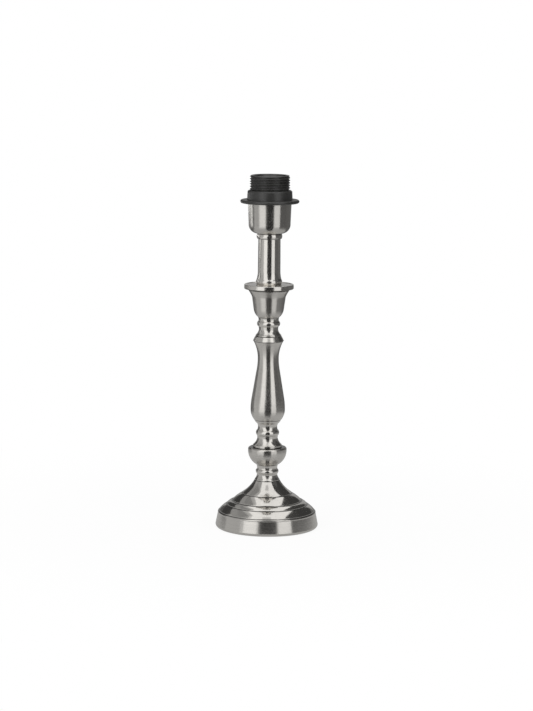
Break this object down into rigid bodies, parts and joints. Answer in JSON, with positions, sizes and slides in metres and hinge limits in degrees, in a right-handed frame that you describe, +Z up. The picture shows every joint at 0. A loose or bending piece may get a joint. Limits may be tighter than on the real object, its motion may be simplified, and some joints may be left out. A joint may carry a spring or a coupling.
{
  "type": "table lamp base",
  "caption": "Turned candlestick table lamp base in satin nickel on a stepped round foot, with a black threaded lampholder and a screw-down shade ring.",
  "frame": {"origin": "centre of the felt pad's underside, on the table", "axes": "+Z up along the stem, +Y towards the back, where the cord's hole is, +X to the right seen from the front"},
  "size_m": [0.1034, 0.105, 0.356],
  "materials": {
    "nickel_brushed": "satin",
    "nickel_polished": "polished",
    "black_plastic": "satin",
    "insulator": "matte",
    "brass": "satin",
    "spring_bronze": "satin",
    "steel": "satin",
    "iron": "rough",
    "felt": "matte"
  },
  "bodies": {
    "lamp": {"threaded_tube": "steel", "base_shell": "nickel_brushed", "base_weight": "iron", "felt_pad": "felt", "weight_washer": "steel", "base_lock_washer": "steel", "base_nut": "brass", "cord_bush": "black_plastic", "foot_neck": "nickel_polished", "bowl_knop": "nickel_brushed", "lower_neck": "nickel_polished", "baluster": "nickel_brushed", "upper_knop": "nickel_polished", "upper_neck": "nickel_polished", "bell_cup": "nickel_brushed", "drip_pan": "nickel_brushed", "candle_tube": "nickel_polished", "tube_collar": "nickel_polished", "holder_cup": "nickel_brushed", "holder_cap": "black_plastic", "cap_lock_screw": "steel", "contact_block": "insulator", "centre_terminal": "brass", "shell_terminal": "brass", "terminal_screws": "steel", "side_contact": "spring_bronze", "screw_shell": "brass", "holder_skirt": "black_plastic"},
    "shade_ring": {"shade_ring": "black_plastic"},
    "centre_contact": {"centre_contact": "spring_bronze"}
  },
  "joints": [
    {"name": "shade_ring_travel", "type": "slide", "parent": "lamp", "child": "shade_ring", "axis": [0, 0, 1], "range_m": [0, 0.028]},
    {"name": "centre_contact_press", "type": "hinge", "parent": "lamp", "child": "centre_contact", "pos_m": [-0.009, 0, 0.3296], "axis": [0, 1, 0], "range_deg": [0, 8], "stiffness_Nm_per_rad": 0.6}
  ]
}
